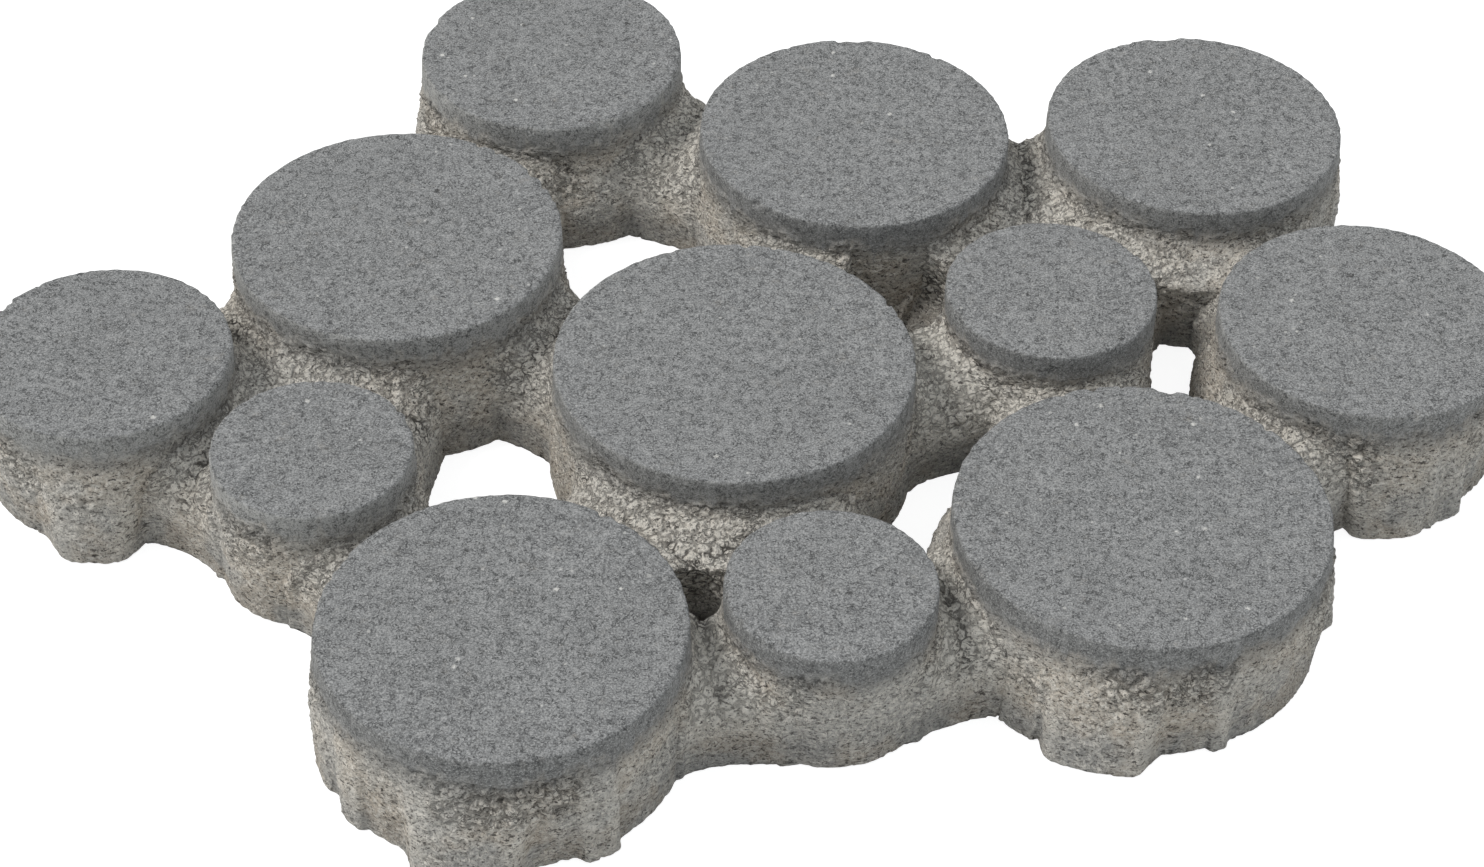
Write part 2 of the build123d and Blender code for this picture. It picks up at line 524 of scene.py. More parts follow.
def coreColour(height, noises, mesh, cells, cracked, pits, s):
    # Sandy tan and grey with pale sand and clods, darker grains, grey near the band and the bed; then
    # painted shade, nearly black, in the deepest of the cracks, pits, flat tears and hollows.
    clods, pale, dust = mesh["clods"], mesh["pale"], noises["dust"]
    core = blend(ramp(noises["area"], *s["areas"]), s["coreTan"], s["coreGrey"])
    # The pale layer: paler tones, and on the webs also painted light where the columns shade them
    core = blend(times(pale, s["palePaint"]), core, s["coreLight"])
    core = paintOver(core, s["coreLayers"], noises, s)
    core = blend(times(clods, ramp(cells["tone"], *s["clodShade"])), core, s["coreLight"])
    grains = times(ramp(noises["sand"], *s["sandDark"]), ramp(pale, *s["sandWherePale"]))
    core = blend(grains, core, s["coreDark"])
    underBand = times(ramp(height, *s["underBand"]), ramp(pale, *s["underBandHere"]))
    core = blend(underBand, core, s["bandGrey"])
    nearBed = times(ramp(height, *s["nearBed"]), ramp(dust, *s["nearBedHere"]), s["nearBedPaint"])
    core = blend(nearBed, core, s["bandGrey"])

    seams = times(ramp(clods, *s["seam"]), ramp(dust, *s["seamHere"]))
    cracks = times(cells["clodCrack"], mostOf(cracked, seams))
    crumbly = times(
        ramp(clods, *s["crumbly"]), ramp(dust, *s["crumbHere"]), ramp(clods, *s["crumbOffSeams"]))
    crumbCracks = times(cells["crumbCrack"], crumbly)
    tears = times(ramp(noises["tear"], *s["tearLine"]), ramp(noises["area"], *s["tearHere"]))
    # Painted shade, nearly black, in the cracks, pits, crumb cracks, tears and hollows, less where the
    # webs are palest
    dark = mostOf(cracks, pits, crumbCracks, tears, ramp(mesh["shadedHollow"], *s["hollowShadePaint"]))
    return blend(times(dark, ramp(pale, *s["shadeWherePale"])), core, s["creviceShade"])


def coreReliefOf(noises, mesh, cells, cracked, pits, s):
    # Domes of the clods and crumbs and the weighted noises, less the cracks and pits.
    clods = mesh["clods"]
    clodDomes = times(ramp(cells["clodMiddle"], *s["clodDome"]), clods)
    crumbDomes = times(ramp(cells["crumbMiddle"], *s["crumbDome"]), ramp(clods, *s["crumbDomeHere"]))
    cracks = times(cells["clodCrack"], mostOf(ramp(clods, *s["seamRelief"]), cracked))
    grains = [times(noises[noise], weight) for noise, weight in s["coreRelief"].items()]
    return calc("SUBTRACT", sumOf(clodDomes, crumbDomes, *grains), mostOf(cracks, pits))


def faceReliefOf(noises, worm, s):
    # The weighted noises less the worm marks.
    grains = [times(noises[noise], weight) for noise, weight in s["faceRelief"].items()]
    return calc("SUBTRACT", sumOf(*grains), times(worm, s["wormRelief"]))


def makeConcrete(s=finish):
    # Fine grey facing and coarse tan core, told apart by the layer fineFace of the mesh.
    material = bpy.data.materials.new("dryCastConcrete")
    material.use_nodes = True
    tree = material.node_tree
    shader = tree.nodes["Principled BSDF"]
    shader.inputs["Roughness"].default_value = s["roughness"]
    shader.inputs["Specular IOR Level"].default_value = s["specular"]
    place = newNode(tree, "ShaderNodeTexCoord").outputs["Object"]
    height = newNode(tree, "ShaderNodeSeparateXYZ", {}, {"Vector": place}).outputs["Z"]
    mesh = {
        layer: newNode(tree, "ShaderNodeAttribute", {"attribute_name": layer}).outputs["Fac"]
        for layer in ("fineFace", "shadedHollow", "topFace", "clods", "pale")
    }
    noises = {name: noiseOf(place, *pattern) for name, pattern in s["noises"].items()}
    worm = wormMarks(noises, s)
    cells = clodCells(place, s)
    cracked = times(ramp(mesh["clods"], *s["cloddy"]), ramp(noises["lumps"], *s["crackedLumps"]))
    pits = mostOf(ramp(noises["lumps"], *s["lumpPits"]), ramp(noises["grit"], *s["gritPits"]))
    # One strength for how dark the pits' painted shade is and how deep they are in the relief
    pits = times(pits, s["pitShadeAndDepth"])

    # The facing's lower edge is feathered by two noises
    feather = [swing(noises[noise], s["edgeFeather"]) for noise in ("dust", "streak")]
    fineHere = ramp(sumOf(mesh["fineFace"], *feather), *s["fineEdge"])
    core = coreColour(height, noises, mesh, cells, cracked, pits, s)
    colour = blend(fineHere, core, facingColour(place, noises, mesh, worm, s))
    tree.links.new(colour, shader.inputs["Base Color"])

    # Relief finer than the mesh comes from few patterns, as Blender works each out three times
    inputs = {0: ramp(mesh["fineFace"], *s["fineRelief"])}
    inputs[2] = coreReliefOf(noises, mesh, cells, cracked, pits, s)
    inputs[3] = faceReliefOf(noises, worm, s)
    relieved = newNode(tree, "ShaderNodeMix", {"data_type": "FLOAT"}, inputs).outputs[0]
    inputs = {"Strength": s["bumpStrength"], "Distance": s["bumpDistance"], "Height": relieved}
    bump = newNode(tree, "ShaderNodeBump", {}, inputs)
    tree.links.new(bump.outputs[0], shader.inputs["Normal"])
    return material


concrete = makeConcrete()
print("concrete finish made")

columns = {
    # Centre x, centre y and diameter of the flat top, in mm
    "sizes": {
        "backLeft": (-128.0, 255.0, 160.0),
        "backMiddle": (58.5, 182.0, 186.0),
        "backRight": (264.0, 196.5, 177.0),
        "left": (-207.0, 74.0, 191.0),
        "middle": (-10.0, -29.5, 202.0),
        "innerSmall": (169.5, 37.0, 121.0),
        "right": (347.5, 17.5, 169.0),
        "farLeft": (-360.5, -35.5, 144.0),
        "leftSmall": (-236.0, -110.0, 110.0),
        "frontLeft": (-125.0, -238.0, 192.0),
        "frontSmall": (43.0, -204.5, 112.0),
        "frontRight": (208.0, -145.5, 202.0),
    },
    # How pale the facing is below the rim
    "bandTones": {
        "backLeft": 0.9, "left": 0.9, "farLeft": 0.8, "leftSmall": 0.9, "middle": 0.5, "backRight": 0.4,
        "right": 0.4, "backMiddle": 0.15, "innerSmall": 0.15, "frontLeft": 0.05, "frontRight": 0.05,
        "frontSmall": 0.0,
    },
    # Lugs, ribs and swellings: column, direction, root width, face width and reach at the bed
    "bumps": [
        ("farLeft", -90, 96, 32, 16), ("frontLeft", -98, 92, 48, 16), ("frontRight", -104, 92, 48, 17),
        ("right", -84, 76, 38, 14), ("backLeft", 88, 80, 38, 16), ("backRight", 84, 80, 38, 16),
        ("frontLeft", -57, 44, 20, 7), ("frontLeft", -139, 40, 18, 5), ("frontLeft", -166, 76, 46, 4),
        ("frontRight", -128, 44, 22, 8), ("frontRight", -67, 26, 10, 4), ("frontRight", 8, 80, 36, 11),
        ("right", -61, 46, 24, 8), ("backLeft", 185, 76, 40, 10), ("backRight", 0, 60, 36, 5),
    ],
    "bumpRoot": 36.0,        # how far inside the wall the root width is measured
    "bumpHeight": 62.0,
    "bumpSoftness": 3.6,
    "bumpBlend": 2.5,        # how softly a bump leaves the wall
    "bumpStart": 0.4,        # what is cut off its thin end
    "bumpSweep": 1.3,        # the widest turn that a wedge is worked out for
    # Soft bulges of the wall: column, direction, half angle, height, half height and reach
    "bulges": [
        ("frontLeft", -160, 26, 36, 24, 3.0), ("frontRight", -14, 16, 40, 22, 4.0),
        ("backRight", -8, 20, 38, 24, 2.5), ("frontLeft", -75, 22, 40, 16, 1.5),
        ("frontRight", -85, 26, 42, 14, 1.5), ("right", -100, 24, 36, 20, 1.5),
        ("leftSmall", -118, 30, 12, 26, 3.5),
    ],
    # Open gaps: the columns round each, counterclockwise, and how far their feet reach into it
    "gaps": [
        {"left": 3.0, "middle": 3.0, "backMiddle": 5.0, "backLeft": 16.0},
        {"left": 13.0, "leftSmall": 1.0, "frontLeft": 3.0, "middle": 3.0},
        {"middle": 1.0, "frontSmall": 3.0, "frontRight": 12.0, "innerSmall": 1.0},
        {"innerSmall": 1.0, "frontRight": 5.0, "right": 9.0, "backRight": 28.0},
    ],
    # The heights between which a foot fades out, for most feet and for those deeper than 20 mm
    "footFade": (18.0, 56.0),
    "deepFoot": 20.0,
    "deepFootFade": (44.0, 60.0),
    "footSides": 0.25,       # the turn over which a foot fades towards the webs beside it
    "thickness": 80.0,
    "arris": 1.0,
    "step": 1.5,
    "wallRows": 56,
    "bedEdge": 0.8,          # height and width of the bevel round the bed
    # Insets of the top's rings, and the bed's rings as shares of the wall's distance from the axis
    "topInsets": [2.2, 3.6, 6.0, 10.0, 17.0, 27.0, 40.0, 56.0, 74.0, 90.0],
    "bottomShares": [0.3, 0.6, 0.8, 0.92, 0.98],
    "topCentre": 6.0,        # the least radius of a ring on the top
    "poleSink": 0.2,
    # Where the fine facing ends. Waves, here and below: size, height or depth, own seed
    "bandHeight": 66.0,
    "bandWave": (9.0, 3.5, 50),
    "bandSwell": (26.0, 1.5, 51),
    # Below that edge, in mm: where the relief begins, and where the core's colour does
    "roughBelow": (-1.0, 2.5),
    "coreBelow": (-9.0, 11.0),
    # The relief is lower near the bed, and so is the painted shade of its hollows
    "footWave": (30.0, 7.0, 52),
    "footHeight": (10.0, 30.0),
    "footRelief": 0.65,
    "footHollowShade": 0.4,
    # Clods in patches of a belt below the facing. Patches: size, where they start and are full, seed
    "belt": (20.0, 42.0),
    "cloddyPart": (24.0, -0.35, 0.45, 55),
    "clodPaint": 0.5,
    "flatten": 1.45,         # clods are flattened by the press
    "wallClods": 0.75,
    "leastClods": 0.25,
    "crumbLevel": 0.35,      # how far the crumbled wall stands out
    # Hollows painted in shade: the crumble level where the shade starts, and how far below it is full
    "shadedHollow": (-0.2, 2.2),
    # Flat tears just below the facing's edge: where, how flat the torn patches lie, how far below,
    # how high, how deep, and how dark their painted shade is
    "tornPart": (16.0, -0.1, 0.35, 53),
    "tornFlatten": 0.4,
    "tearBelow": 1.8,
    "tearHeight": 1.3,
    "tearDepth": 1.1,
    "tearShade": 0.8,
    "scratches": (4.0, 0.12, 54),
    "scratchFlatten": 0.1,
    # Ridges are paler: over how many steps each way, how high, up to which height, and how pale
    "ridgeSteps": 6,
    "ridgeHeight": 0.8,
    "ridgeTop": (72.0, 58.0),
    "ridgePale": 0.9,
    "beltPale": 0.35,
    # Chips along the rim, in some stretches of it, and the wear all round
    "chips": (5.5, 0.25, 0.85, 60),
    "chippedPart": (40.0, -0.2, 0.5, 61),
    "chipDepth": 2.6,
    "rimWear": (3.0, 0.4, 62),
    "chipBelow": (5.5, 1.0),
    "chipOnTop": 8.0,
    "chipSink": (0.35, 0.2),
    "topWear": (38.0, 0.25, 70),
}


def directionTo(first, second):
    # The angle of the line from one column's axis to another's.
    a, b = columns["sizes"][first], columns["sizes"][second]
    return math.atan2(b[1] - a[1], b[0] - a[0])


def angleFrom(angle, direction):
    # The turn from a direction to each angle, from -pi to pi.
    return (angle - direction + math.pi) % (2.0 * math.pi) - math.pi


def softMax(a, b, width):
    # The greater of two values, rounded where they meet: half of a + b + root((a - b)^2 + width^2).
    return (a + b + np.sqrt((a - b) ** 2 + width * width)) / 2.0


def bumpRadius(turn, z, radius, rootWidth, faceWidth, reach, s=columns):
    # Distance from the axis to a wedge with a cone's face: the lesser of its face and its two sides.
    depth, root, face = s["bumpRoot"], rootWidth / 2.0, faceWidth / 2.0
    slope = (root - face) / (depth + reach)
    turn = np.clip(np.abs(turn), 0.0, s["bumpSweep"])
    sides = (root + slope * (radius - depth)) / (np.sin(turn) + slope * np.cos(turn))
    front = radius + reach * (1.0 - z / s["bumpHeight"])
    return -softMax(-sides, -front, s["bumpSoftness"])


def wallRadius(name, angle, z, s=columns):
    # The wall's distance from the axis before the relief: its radius and what stands out at each
    # angle and height, which is the wedges, the bell-shaped bulges, and the feet in the gaps.
    radius = s["sizes"][name][2] / 2.0
    wall = np.full(np.broadcast(angle, z).shape, radius)
    for owner, direction, rootWidth, faceWidth, reach in s["bumps"]:
        if owner == name:
            turn = angleFrom(angle, math.radians(direction))
            proud = bumpRadius(turn, z, radius, rootWidth, faceWidth, reach) - radius
            wall = wall + np.maximum(softMax(proud, 0.0, s["bumpBlend"]) - s["bumpStart"], 0.0)
    for owner, direction, halfAngle, height, halfHeight, reach in s["bulges"]:
        if owner == name:
            turn = angleFrom(angle, math.radians(direction)) / math.radians(halfAngle)
            wall = wall + reach * np.exp(-turn ** 2 - ((z - height) / halfHeight) ** 2)
    for feet in s["gaps"]:
        if name in feet:
            around = list(feet)
            spot = around.index(name)
            start = directionTo(name, around[(spot + 1) % len(around)])
            sweep = (directionTo(name, around[spot - 1]) - start) % (2.0 * math.pi)
            turn = np.abs(angleFrom(angle, start + sweep / 2.0))
            inside = smoothStep(turn, sweep / 2.0, sweep / 2.0 - s["footSides"])
            deep = feet[name] > s["deepFoot"]
            low, high = s["deepFootFade" if deep else "footFade"]
            wall = wall + feet[name] * inside * (1.0 - smoothStep(z, low, high))
    return wall


def roundAxis(x, y, radial, angle, high):
    # The points x + r cos a, y + r sin a at the given heights, ring after ring.
    sides = [x + radial * np.cos(angle), y + radial * np.sin(angle)]
    return np.stack(sides + [high + 0.0 * radial], axis=-1).reshape(-1, 3)


def wallRelief(name, points, ridge, s=columns):
    # How far each point of the wall is moved by crumbs, tears and scratches, and its values for the
    # layers: facing above the wavy edge of the band, and below it painted shade in the hollows and
    # tears, clods and how pale it is.
    z = points[:, 2]
    bandEdge = s["bandHeight"] + waves(points * (1.0, 1.0, 0.0), s["bandWave"])
    bandEdge = bandEdge + waves(points * (1.0, 1.0, 0.0), s["bandSwell"])
    rough = smoothStep(bandEdge - z, *s["roughBelow"])
    facing = 1.0 - smoothStep(bandEdge - z, *s["coreBelow"])
    low = smoothStep(z + waves(points, s["footWave"]), *s["footHeight"])
    belt = smoothStep(z, *s["belt"]) * rough
    clods = belt * patches(points, s["cloddyPart"])
    cloddy = s["wallClods"] * atLeast(s["leastClods"], clods)
    crumble = crumbleHeight(points, s["flatten"], cloddy)
    height = (crumble + s["crumbLevel"]) * rough * atLeast(s["footRelief"], low)
    tear = np.exp(-((z - bandEdge + s["tearBelow"]) / s["tearHeight"]) ** 2)
    tear = tear * patches(points * (1.0, 1.0, s["tornFlatten"]), s["tornPart"])
    height = height - s["tearDepth"] * tear
    height = height + waves(points * (1.0, 1.0, s["scratchFlatten"]), s["scratches"])
    # Painted shade where the crumbled wall is low and in the tears
    shadedHollow = hollowShadeOf(crumble, *s["shadedHollow"]) * rough * atLeast(s["footHollowShade"], low)
    shadedHollow = np.maximum(shadedHollow, s["tearShade"] * tear)
    ridge = np.clip(ridge / s["ridgeHeight"], 0.0, 1.0) * smoothStep(z, *s["ridgeTop"])
    pale = np.maximum(s["beltPale"] * belt, s["ridgePale"] * ridge)
    pale = pale + (s["bandTones"][name] - pale) * facing
    return height, facing, shadedHollow, s["clodPaint"] * clods, pale


def columnShell(name, s=columns):
    # Rings round the axis whose radius changes with angle and height: from the middle of the bed, up
    # the wall and over the rim to the middle of the top.
    x, y, diameter = s["sizes"][name]
    radius, top = diameter / 2.0, s["thickness"]
    turns = int(round(math.pi * diameter / s["step"]))
    angle = np.linspace(0.0, 2.0 * math.pi, turns, endpoint=False)[None, :]
    wallZ = np.linspace(s["bedEdge"], top - s["arris"], s["wallRows"])[:, None]
    wall = wallRadius(name, angle, wallZ)
    shift = range(-s["ridgeSteps"], s["ridgeSteps"] + 1)
    ridge = wall - sum(np.roll(wall, step, axis=1) for step in shift) / len(shift)
    wallPoints = roundAxis(x, y, wall, angle, wallZ)
    height, facing, shadedHollow, clods, pale = wallRelief(name, wallPoints, ridge.ravel())

    # Short stretches of the rim are broken away, on the wall, the top's edge and the top
    rim = roundAxis(x, y, radius + 0.0 * angle, angle, 0.0)
    chips = patches(rim, s["chips"]) * patches(rim, s["chippedPart"])
    chips = (s["chipDepth"] * chips + wear(rim, s["rimWear"]))[None, :]
    deepest, shallowest = s["chipBelow"]
    rimNear = smoothStep(wallZ, top - deepest, top - shallowest)
    wall = wall + height.reshape(wall.shape) - chips * rimNear
    insets = [inset for inset in s["topInsets"] if inset < radius - s["topCentre"]]
    above = np.concatenate([radius - s["arris"] - chips] + [
        radius - inset - chips * max(0.0, 1.0 - inset / s["chipOnTop"]) for inset in insets])
    sink = wear(roundAxis(x, y, above, angle, top), s["topWear"]).reshape(above.shape)
    for row, share in enumerate(s["chipSink"]):
        sink[row] += share * chips[0]

    edge = wall[:1]
    below = np.concatenate([edge * share for share in s["bottomShares"]] + [edge - s["bedEdge"]])
    radial = np.concatenate([below, wall, above])
    high = np.concatenate([np.zeros(below.shape), wallZ + 0.0 * wall, top - sink])
    poles = np.array([[x, y, 0.0], [x, y, top - s["poleSink"]]])
    points = keepInBox(np.concatenate([roundAxis(x, y, radial, angle, high), poles]))
    rings = np.arange(radial.size).reshape(radial.shape)
    triangles = np.concatenate([
        fanFaces(radial.size, rings[0], False), fanFaces(radial.size + 1, rings[-1], True)])

    def layer(onWall, onTop):
        # 0 on the bed, its own values on the wall and one value on the top, then the two poles.
        return np.concatenate([np.zeros(below.size), onWall, np.full(above.size, onTop), [0.0, onTop]])

    layers = {
        "fineFace": layer(facing, 1.0),
        "shadedHollow": layer(shadedHollow, 0.0),
        "clods": layer(clods, 0.0),
        "pale": layer(pale, 0.0),
        "topFace": layer(0.0 * facing, 1.0),
    }
    return points, gridFaces(*radial.shape), triangles, layers


for columnName in columns["sizes"]:
    makeObject(columnName + "Column", *columnShell(columnName), concrete)

webs = {
    # From column, to column, half width and shoulder radius on the left and on the right, and how
    # pale the crest is: pale dust, raised further as painted light where the columns shade the web.
    # The shoulder is small where the side meets other webs or a drain hole. The half width is 62 where
    # three webs close up, and short of the middle of a drain hole.
    "outer": [
        ("farLeft", "leftSmall", (62, 8), (40, 34), 0.7),
        ("leftSmall", "frontLeft", (48, 34), (40, 34), 0.7),
        ("frontLeft", "frontSmall", (33, 8), (44, 34), 1.8),
        ("frontSmall", "frontRight", (48, 34), (44, 34), 1.9),
        ("frontRight", "right", (48, 34), (44, 34), 1.2),
        ("right", "backRight", (53, 34), (44, 34), 1.1),
        ("backRight", "backMiddle", (62, 8), (44, 34), 1.0),
        ("backMiddle", "backLeft", (56, 34), (44, 34), 1.2),
        ("backLeft", "left", (48, 34), (44, 34), 0.9),
        ("left", "farLeft", (62, 8), (44, 34), 0.8),
    ],
    "inner": [
        ("left", "leftSmall", (48, 34), (62, 8), 0.7),
        ("frontLeft", "middle", (48, 34), (56, 8), 1.0),
        ("left", "middle", (48, 34), (48, 34), 0.7),
        ("middle", "backMiddle", (48, 34), (56, 8), 1.2),
        ("middle", "frontSmall", (48, 34), (56, 8), 1.2),
        ("middle", "innerSmall", (50, 8), (48, 34), 2.4),
        ("innerSmall", "frontRight", (48, 34), (48, 34), 1.6),
        ("innerSmall", "backRight", (62, 8), (40, 34), 1.2),
        ("innerSmall", "backMiddle", (51, 8), (62, 8), 1.0),
    ],
    "crest": 54.0,
    "sag": 3.0,              # how much lower the crest is halfway, and the heights that sag with it
    "sagHeight": (12.0, 48.0),
    "halfProfile": 48.0,     # the half width that the profile is drawn at before its sides are scaled
    "step": 1.6,
    "cornerPoints": 24,
    "bedPoints": 5,
    "overlap": 10.0,         # how far the shell runs on inside a column
    "leastStart": 0.12,      # the nearest it comes to the column's axis, as a share of the radius
    # Inside a column the web is no wider than this share of its radius, and it widens between these
    "narrowest": 0.84,
    "widens": (0.35, 0.85),
    "level": (4.0, 20.0),    # the heights between which the relief's direction stops being level
    "climbReach": 24.0,      # the concave flare where a web climbs a column, and how high it climbs
    "climb": 9.0,
    "sideClimb": 6.0,
    "climbHeight": (18.0, 46.0),
    "climbInside": (-18.0, -9.0),
    "seamWidth": 6.5,        # the crumbled seam midway between two columns
    "seamDepth": 2.0,
    "seamHeight": (22.0, 44.0),
    "seamWander": (18.0, 4.0, 90),
    # Clods on the upper half, and as many again in the loose parts of the seams
    "crestClods": 0.5,
    "crestHeight": (16.0, 40.0),
    "seamClods": 0.5,
    "seamSpread": 1.6,
    "loosePart": (13.0, -0.45, 0.35, 91),
    "reliefHeight": (-16.0, 8.0),
    # Hollows painted in shade: the crumble level where the shade starts, and how far below it is full
    "shadedHollow": (0.1, 2.4),
    "paleHeight": (14.0, 42.0),
    "paleGap": (-5.0, 6.0),
    # Drain holes where three columns meet: centre x and y, radius, and how much the mouth is wider
    # all round and at the back
    "drains": [(-25.0, -184.0, 18.0, 2.0, 0.0), (85.0, 60.0, 22.0, 13.0, 7.0)],
    "drainMouth": (4.0, 40.0),
    "drainWave": (6.0, 1.6, 80),
    "drainDrop": 0.35,
}


def webProfile(leftShoulder, rightShoulder, s=webs):
    # Up one side, over the rounded top, down the other and back along the bed, evenly spaced.
    crest, half = s["crest"], s["halfProfile"]
    corner = np.linspace(0.0, math.pi / 2.0, s["cornerPoints"])
    inwards, upwards = 1.0 - np.cos(corner), 1.0 - np.sin(corner)
    left = half - leftShoulder * inwards, crest - leftShoulder * upwards
    right = rightShoulder * inwards - half, crest - rightShoulder * upwards
    across = np.concatenate([[half], left[0], right[0][::-1], [-half]])
    high = np.concatenate([[0.0], left[1], right[1][::-1], [0.0]])
    run = np.concatenate([[0.0], np.cumsum(np.hypot(np.diff(across), np.diff(high)))])
    even = np.linspace(0.0, run[-1], int(run[-1] / s["step"]))
    back = np.linspace(-half, half, s["bedPoints"] + 2)[1:-1]
    across = np.concatenate([np.interp(even, run, across), back])
    high = np.concatenate([np.interp(even, run, high), 0.0 * back])
    return across[None, :], high[None, :]


def webGrid(first, second, left, right, s=webs):
    # The profile carried along the line between two columns: start + along * forward + across * width
    # * aside. Its width grows out of each column, and its crest sags by half a sine.
    (leftHalf, leftShoulder), (rightHalf, rightShoulder) = left, right
    ax, ay, aSize = columns["sizes"][first]
    bx, by, bSize = columns["sizes"][second]
    length = math.hypot(bx - ax, by - ay)
    forward = np.array([bx - ax, by - ay]) / length
    aside = np.array([-forward[1], forward[0]])
    widest = max(leftHalf, rightHalf)
    ends = []
    for radius in (aSize / 2.0, bSize / 2.0):
        leaves = math.sqrt(max(radius ** 2 - widest ** 2, 0.0))
        ends.append(max(leaves - s["overlap"], s["leastStart"] * radius))
    shown = length - sum(ends)
    along = np.linspace(ends[0], length - ends[1], int(shown / s["step"]))[:, None]
    across, high = webProfile(leftShoulder, rightShoulder)
    half = s["halfProfile"]
    width = np.where(across > 0.0, leftHalf, rightHalf) / half
    for radius, gone in ((aSize / 2.0, along), (bSize / 2.0, length - along)):
        narrow = min(1.0, s["narrowest"] * radius / half)
        t = smoothStep(gone, *[share * radius for share in s["widens"]])
        width = np.minimum(width, narrow + (width - narrow) * t)
    lateral = across * width
    halfway = np.sin(np.clip((along - ends[0]) / shown, 0.0, 1.0) * math.pi)
    z = high - s["sag"] * halfway * smoothStep(high, *s["sagHeight"])
    px = ax + along * forward[0] + lateral * aside[0]
    py = ay + along * forward[1] + lateral * aside[1]
    return np.stack([px, py, z], axis=-1)


def shellNormals(grid, s=webs):
    # The cross product of the steps round and along the grid, level near the bed, at length 1.
    alongStep = np.gradient(grid, axis=0)
    ringStep = (np.roll(grid, -1, axis=1) - np.roll(grid, 1, axis=1)) / 2.0
    normal = np.cross(ringStep, alongStep)
    normal[..., 2] *= smoothStep(grid[..., 2], *s["level"])
    return normal / np.maximum(np.linalg.norm(normal, axis=-1, keepdims=True), 1e-9)


def nearestWalls(px, py):
    # Distances to the nearest and the second nearest column's wall, below 0 inside a column.
    nearest, nextNearest = np.full(px.shape, 99.0), np.full(px.shape, 99.0)
    for cx, cy, size in columns["sizes"].values():
        away = np.hypot(px - cx, py - cy) - size / 2.0
        nextNearest = np.where(away < nearest, nearest, np.minimum(nextNearest, away))
        nearest = np.minimum(nearest, away)
    return nearest, nextNearest


def openDrains(grid, s=webs):
    # Vertices inside a drain hole move out to its wall, and down by a share of that way.
    for cx, cy, size, widening, backWidening in s["drains"]:
        up = grid[..., 2]
        dx, dy = grid[..., 0] - cx, grid[..., 1] - cy
        away = np.maximum(np.hypot(dx, dy), 0.1)
        rim = np.stack([cx + size * dx / away, cy + size * dy / away, up], axis=-1).reshape(-1, 3)
        mouth = widening + backWidening * dy / away
        hole = size + mouth * smoothStep(up, *s["drainMouth"])
        hole = hole + waves(rim, s["drainWave"]).reshape(up.shape)
        push = np.maximum(hole - away, 0.0)
        grid[..., 0] += dx / away * push
        grid[..., 1] += dy / away * push
        grid[..., 2] -= s["drainDrop"] * push
    grid[..., 2] = np.maximum(grid[..., 2], 0.0)


def webShell(first, second, left, right, palenessAndPaintedLight, s=webs):
    # The vaulted grid moved out along its normals by the flare, a quarter circle that climbs the
    # columns, and by the crumbs, and moved in along the seams, a bell curve midway between columns.
    grid = webGrid(first, second, left, right)
    px, py, z = grid[..., 0], grid[..., 1], grid[..., 2]
    nearest, nextNearest = nearestWalls(px, py)
    near = np.clip(1.0 - nearest / s["climbReach"], 0.0, 1.0)
    climb = 1.0 - np.sqrt(np.maximum(1.0 - near ** 2, 0.0))
    more = (s["climb"] - s["sideClimb"]) * smoothStep(z, *s["climbHeight"])
    climb = climb * (s["sideClimb"] + more)
    climb = climb * smoothStep(nearest, *s["climbInside"])
    flat = grid.reshape(-1, 3)
    wander = waves(flat, s["seamWander"]).reshape(z.shape)
    seam = np.exp(-((nextNearest - nearest + wander) / s["seamWidth"]) ** 2)
    seam = seam * smoothStep(z, *s["seamHeight"])
    loose = patches(flat, s["loosePart"]).reshape(z.shape)
    clods = s["crestClods"] * smoothStep(z, *s["crestHeight"])
    clods = clods + s["seamClods"] * np.minimum(s["seamSpread"] * seam, 1.0) * loose
    crumble = crumbleHeight(flat, 1.0, clods.ravel()).reshape(z.shape)
    height = climb + crumble * smoothStep(z, *s["reliefHeight"]) - s["seamDepth"] * seam
    height[:, -s["bedPoints"]:] = 0.0
    # Painted shade where the crumbled web is low
    shadedHollow = hollowShadeOf(crumble, *s["shadedHollow"])
    # Pale dust on the crest, raised as painted light where the columns shade the web
    pale = palenessAndPaintedLight * smoothStep(z, *s["paleHeight"]) * smoothStep(nearest, *s["paleGap"])
    grid = grid + shellNormals(grid) * height[..., None]
    openDrains(grid)

    rows, turns = z.shape
    points = keepInBox(grid.reshape(-1, 3))
    poles = [points[:turns].mean(0), points[-turns:].mean(0)]
    ring = np.arange(turns)
    triangles = np.concatenate([
        fanFaces(rows * turns, ring, True),
        fanFaces(rows * turns + 1, ring + (rows - 1) * turns, False)])
    layers = [np.append(layer, [0.0, 0.0]) for layer in (shadedHollow, clods, pale)]
    return np.concatenate([points, poles]), gridFaces(rows, turns)[:, ::-1], triangles, layers


def joinedWebs(name, pairs):
    # The shells of all the pairs in one mesh, each one's face numbers raised by its first vertex.
    points, quads, triangles, layers = zip(*[webShell(*pair) for pair in pairs])
    starts = np.concatenate([[0], np.cumsum([len(part) for part in points])[:-1]])
    values = dict(zip(("shadedHollow", "clods", "pale"), [np.concatenate(parts) for parts in zip(*layers)]))
    values["fineFace"] = values["topFace"] = 0.0 * values["pale"]
    quads = np.concatenate([part + start for part, start in zip(quads, starts)])
    triangles = np.concatenate([part + start for part, start in zip(triangles, starts)])
    makeObject(name, np.concatenate(points), quads, triangles, values, concrete)


joinedWebs("outerWebs", webs["outer"])
joinedWebs("innerWebs", webs["inner"])

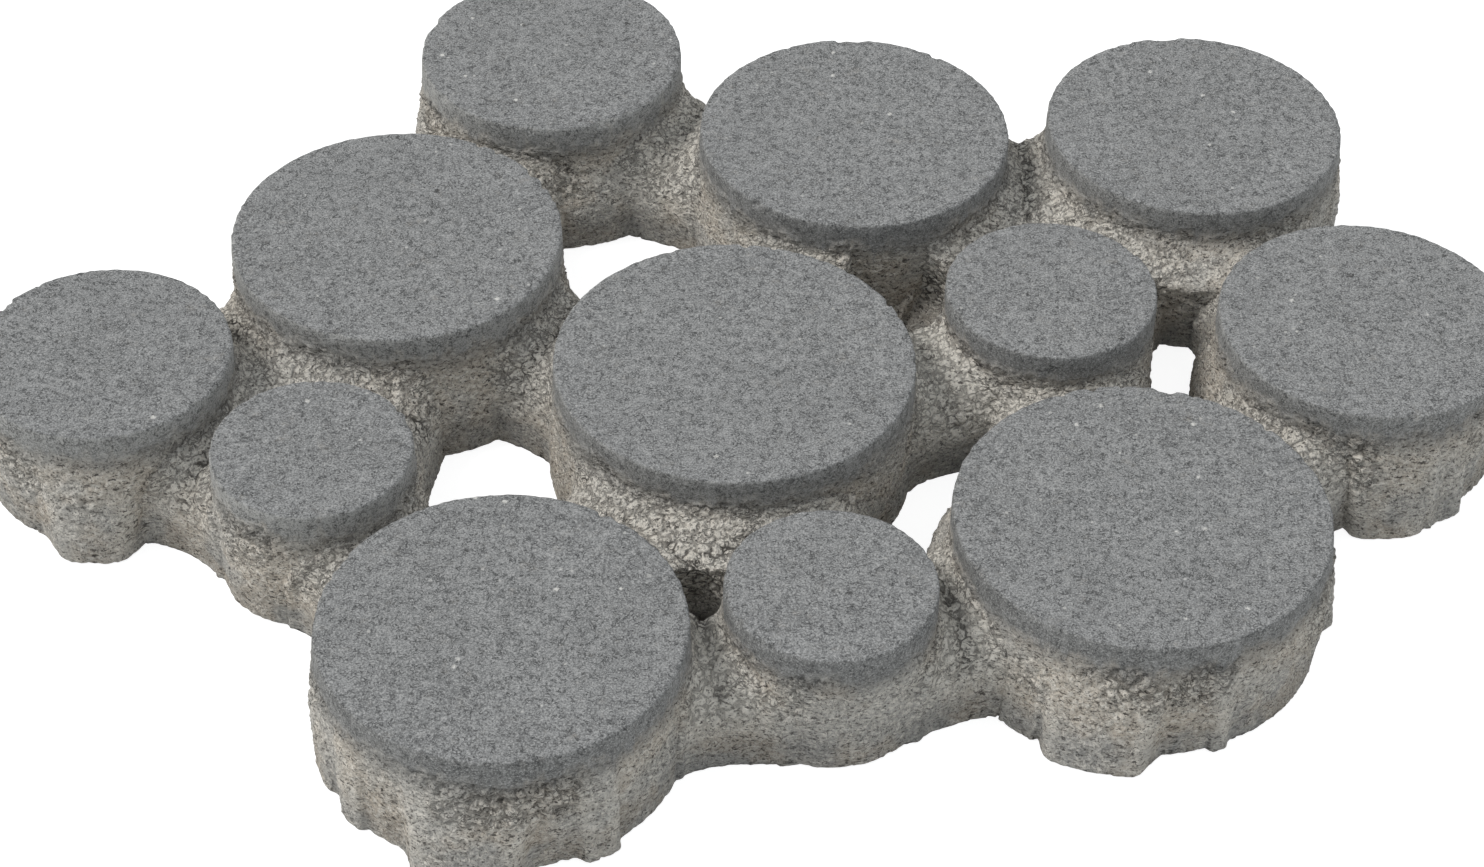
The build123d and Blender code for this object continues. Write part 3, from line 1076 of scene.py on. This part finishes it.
studio = {
    "floorSize": 12.0,
    "floorDrop": 0.0004,     # how far the floor lies below the bed
    "floorBounce": (0.72, 0.72, 0.71, 1.0),
    "floorSeen": (0.35, 0.35, 0.35, 1.0),
    "floorGlow": 0.88,
    "skyColour": (0.93, 0.97, 1.0, 1.0),
    "skyStrength": 0.64,
    "backdrop": (1.0, 1.0, 1.0, 1.0),
    "lamps": [
        # Name, direction that it shines from, strength, softness in degrees, colour
        ("keyLamp", (-0.76, 0.04, 0.90), 1.97, 28.0, (1.0, 0.97, 0.93)),
        ("rimLamp", (0.78, 0.25, 0.65), 0.30, 60.0, (0.95, 0.975, 1.0)),
    ],
}


def seenOrLit(tree, lit, seen):
    # The seen shader for rays from the camera, in a reflection and through glass, else the lit one.
    path = newNode(tree, "ShaderNodeLightPath").outputs
    direct = mostOf(path["Is Camera Ray"], path["Is Glossy Ray"], path["Is Transmission Ray"])
    inputs = {0: direct, 1: lit.outputs[0], 2: seen.outputs[0]}
    return newNode(tree, "ShaderNodeMixShader", {}, inputs).outputs[0]


def makeFloor(s=studio):
    # A level square just under the bed, matt for the light that it bounces and pale where it is seen.
    half = s["floorSize"] / 2.0
    mesh = bpy.data.meshes.new("floor")
    corners = [(-half, -half), (half, -half), (half, half), (-half, half)]
    mesh.from_pydata([(x, y, -s["floorDrop"]) for x, y in corners], [], [(0, 1, 2, 3)])
    material = bpy.data.materials.new("paleFloor")
    material.use_nodes = True
    tree = material.node_tree
    tree.nodes.clear()
    bounce = newNode(tree, "ShaderNodeBsdfDiffuse", {}, {"Color": s["floorBounce"]})
    dimmed = newNode(tree, "ShaderNodeBsdfDiffuse", {}, {"Color": s["floorSeen"]})
    glow = newNode(tree, "ShaderNodeEmission", {}, {"Strength": s["floorGlow"]})
    inputs = {0: dimmed.outputs[0], 1: glow.outputs[0]}
    shown = newNode(tree, "ShaderNodeAddShader", {}, inputs)
    surface = {"Surface": seenOrLit(tree, bounce, shown)}
    newNode(tree, "ShaderNodeOutputMaterial", {}, surface)
    mesh.materials.append(material)
    floor = bpy.data.objects.new("floor", mesh)
    bpy.context.scene.collection.objects.link(floor)


def makeLight(s=studio):
    # A white backdrop where it is seen, a soft pale sky for the light, and two wide suns.
    world = bpy.data.worlds.new("softWorld")
    world.use_nodes = True
    tree = world.node_tree
    tree.nodes.clear()
    inputs = {"Color": s["skyColour"], "Strength": s["skyStrength"]}
    sky = newNode(tree, "ShaderNodeBackground", {}, inputs)
    white = newNode(tree, "ShaderNodeBackground", {}, {"Color": s["backdrop"], "Strength": 1.0})
    newNode(tree, "ShaderNodeOutputWorld", {}, {"Surface": seenOrLit(tree, sky, white)})
    bpy.context.scene.world = world
    for name, shinesFrom, strength, softness, colour in s["lamps"]:
        data = bpy.data.lights.new(name, "SUN")
        data.energy, data.angle, data.color = strength, math.radians(softness), colour
        lamp = bpy.data.objects.new(name, data)
        bpy.context.scene.collection.objects.link(lamp)
        lamp.rotation_mode = "QUATERNION"
        lamp.rotation_quaternion = Vector(shinesFrom).to_track_quat("Z", "Y")


makeFloor()
makeLight()
bpy.context.scene.view_settings.view_transform = "Standard"
print("floor and light made")
